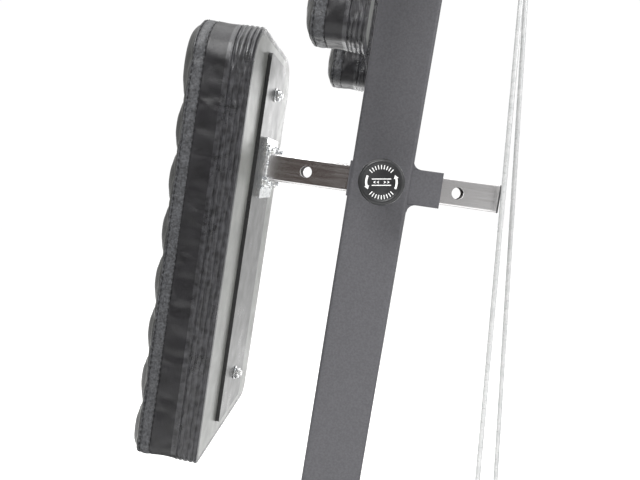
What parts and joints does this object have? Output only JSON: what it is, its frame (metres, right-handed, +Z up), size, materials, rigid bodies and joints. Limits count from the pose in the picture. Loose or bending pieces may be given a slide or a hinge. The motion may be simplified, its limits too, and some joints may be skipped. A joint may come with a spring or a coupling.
{
  "type": "seated cable row",
  "caption": "Seated cable row with a raked upright, a chest pad on a sliding locked bar, upper pads, a seat, foot plates, two cable handles and a weight stack.",
  "frame": {"origin": "on the floor, midway between the front and rear feet, on the plane of symmetry of the frame", "axes": "+Z up, +X from the seat towards the weight stack, +Y to the user's left"},
  "size_m": [1.48, 0.606, 1.996],
  "materials": {
    "frame_paint": "fine textured powder coat",
    "cap_plastic": "moulded black plastic",
    "foot_rubber": "matt",
    "liner_plastic": "satin",
    "chrome": "polished",
    "zinc": "bright zinc",
    "weight_paint": "satin black",
    "pulley_plastic": "satin glass-filled nylon",
    "cable": "coated wire rope",
    "vinyl": "soft grained vinyl",
    "board_grey": "satin grey backing sheet",
    "plate_grey": "grey satin",
    "grip_rubber": "moulded rubber"
  },
  "bodies": {
    "frame": {"base_beam": "frame_paint", "cross_feet": "frame_paint", "tube_end_caps": "cap_plastic", "rubber_feet": "foot_rubber", "upright": "frame_paint", "pad_bar_sleeve": "frame_paint", "sleeve_liner": "liner_plastic", "lock_collars": "frame_paint", "top_boom": "frame_paint", "rear_column": "frame_paint", "guide_rod_plates": "frame_paint", "guide_rods": "chrome", "stack_cushions": "foot_rubber", "resting_weight_plates": "weight_paint", "low_pulley_frame": "frame_paint", "pulley_axles": "zinc", "left_cable": "cable", "right_cable": "cable", "foot_rest_frame": "frame_paint", "foot_rest_plates": "foot_rubber", "seat_post_sleeve": "frame_paint", "upper_pad_arms": "frame_paint", "upper_pad_boards": "board_grey", "upper_pad_cushion_left": "vinyl", "upper_pad_cushion_right": "vinyl", "upper_pad_bolts": "zinc"},
    "chest_pad": {"pad_bar": "chrome", "pad_bar_end_cap": "cap_plastic", "pad_bracket": "zinc", "pad_bolts": "zinc", "pad_plate": "plate_grey", "pad_board": "board_grey", "pad_cushion": "vinyl"},
    "lock_plunger": {"lock_pin": "zinc", "lock_spring": "zinc"},
    "lock_knob": {"lock_knob": "cap_plastic"},
    "seat": {"seat_post": "chrome", "seat_board": "board_grey", "seat_cushion": "vinyl", "seat_bolts": "zinc"},
    "seat_plunger": {"seat_lock_pin": "cap_plastic"},
    "lifted_stack": {"lifted_weight_plates": "weight_paint", "top_weight_plate": "weight_paint", "selector_stem": "chrome", "floating_pulley_bracket": "frame_paint", "stack_cable": "cable"},
    "selector": {"selector_pin": "cap_plastic"},
    "floating_pulley": {"floating_pulley": "pulley_plastic"},
    "top_front_pulleys": {"top_front_pulleys": "pulley_plastic"},
    "top_rear_pulleys": {"top_rear_pulleys": "pulley_plastic"},
    "corner_pulley_left": {"corner_pulley_left": "pulley_plastic"},
    "corner_pulley_right": {"corner_pulley_right": "pulley_plastic"},
    "exit_pulley_left": {"exit_pulley_left": "pulley_plastic"},
    "exit_pulley_right": {"exit_pulley_right": "pulley_plastic"},
    "handle_left": {"handle_left_hook": "zinc", "handle_left_stirrup": "chrome"},
    "handle_right": {"handle_right_hook": "zinc", "handle_right_stirrup": "chrome"},
    "handle_left_grip": {"handle_left_grip": "grip_rubber"},
    "handle_right_grip": {"handle_right_grip": "grip_rubber"}
  },
  "joints": [
    {"name": "stack_lift", "type": "slide", "parent": "frame", "child": "lifted_stack", "axis": [0, 0, 1], "range_m": [0, 0.5], "deforming": ["stack_cable"]},
    {"name": "handle_left_pull", "type": "slide", "parent": "frame", "child": "handle_left", "axis": [-0.766, 0, 0.6428], "range_m": [0, 0.5], "deforming": ["left_cable"]},
    {"name": "handle_right_pull", "type": "slide", "parent": "frame", "child": "handle_right", "axis": [-0.766, 0, 0.6428], "range_m": [0, 0.5], "deforming": ["right_cable"]},
    {"name": "handle_left_grip_spin", "type": "hinge", "parent": "handle_left", "child": "handle_left_grip", "pos_m": [-0.01227, 0.226, 0.35866], "axis": [0.6428, 0, 0.766], "continuous": true},
    {"name": "handle_right_grip_spin", "type": "hinge", "parent": "handle_right", "child": "handle_right_grip", "pos_m": [-0.01271, -0.226, 0.35814], "axis": [0.6428, 0, 0.766], "continuous": true},
    {"name": "pad_bar_slide", "type": "slide", "parent": "frame", "child": "chest_pad", "axis": [0.99, 0, -0.1409], "range_m": [-0.096, 0]},
    {"name": "lock_pin_push", "type": "slide", "parent": "frame", "child": "lock_plunger", "axis": [0, 1, 0], "range_m": [0, 0.012], "deforming": ["lock_spring"]},
    {"name": "lock_knob_turn", "type": "hinge", "parent": "lock_plunger", "child": "lock_knob", "pos_m": [0.045, 0, 0.95], "axis": [0, -1, 0], "range_deg": [0, 180]},
    {"name": "seat_height", "type": "slide", "parent": "frame", "child": "seat", "axis": [0, 0, 1], "range_m": [0, 0.12]},
    {"name": "seat_pin_push", "type": "slide", "parent": "frame", "child": "seat_plunger", "axis": [0, 1, 0], "range_m": [0, 0.012]},
    {"name": "selector_pin_pull", "type": "slide", "parent": "lifted_stack", "child": "selector", "axis": [-1, 0, 0], "range_m": [0, 0.09]},
    {"name": "floating_pulley_spin", "type": "hinge", "parent": "lifted_stack", "child": "floating_pulley", "pos_m": [0.545, 0, 0.5766], "axis": [1, 0, 0], "continuous": true},
    {"name": "top_front_pulleys_spin", "type": "hinge", "parent": "frame", "child": "top_front_pulleys", "pos_m": [0.2958, 0, 1.95], "axis": [0, -1, 0], "range_deg": [-1, 726.2]},
    {"name": "top_rear_pulleys_spin", "type": "hinge", "parent": "frame", "child": "top_rear_pulleys", "pos_m": [0.505, 0, 1.95], "axis": [0, -1, 0], "range_deg": [-1, 726.2]},
    {"name": "corner_pulley_right_spin", "type": "hinge", "parent": "frame", "child": "corner_pulley_right", "pos_m": [0.1484, -0.08, 0.265], "axis": [-0.998, 0, 0.0636], "range_deg": [-1, 726.2]},
    {"name": "exit_pulley_right_spin", "type": "hinge", "parent": "frame", "child": "exit_pulley_right", "pos_m": [0.11522, -0.186, 0.25079], "axis": [-0.6428, 0, -0.766], "range_deg": [-1, 726.2]},
    {"name": "corner_pulley_left_spin", "type": "hinge", "parent": "frame", "child": "corner_pulley_left", "pos_m": [0.1948, 0.08, 0.22607], "axis": [0.9994, 0, -0.0353], "range_deg": [-1, 726.2]},
    {"name": "exit_pulley_left_spin", "type": "hinge", "parent": "frame", "child": "exit_pulley_left", "pos_m": [0.16274, 0.186, 0.2118], "axis": [0.6428, 0, 0.766], "range_deg": [-1, 726.2]}
  ],
  "couplings": [
    {"joint": "handle_left_pull", "follows": "stack_lift", "ratio": 1},
    {"joint": "handle_right_pull", "follows": "stack_lift", "ratio": 1},
    {"joint": "top_front_pulleys_spin", "follows": "stack_lift", "rad_per_m": 25},
    {"joint": "top_rear_pulleys_spin", "follows": "stack_lift", "rad_per_m": 25},
    {"joint": "corner_pulley_right_spin", "follows": "stack_lift", "rad_per_m": 25},
    {"joint": "exit_pulley_right_spin", "follows": "stack_lift", "rad_per_m": 25},
    {"joint": "corner_pulley_left_spin", "follows": "stack_lift", "rad_per_m": 25},
    {"joint": "exit_pulley_left_spin", "follows": "stack_lift", "rad_per_m": 25}
  ]
}
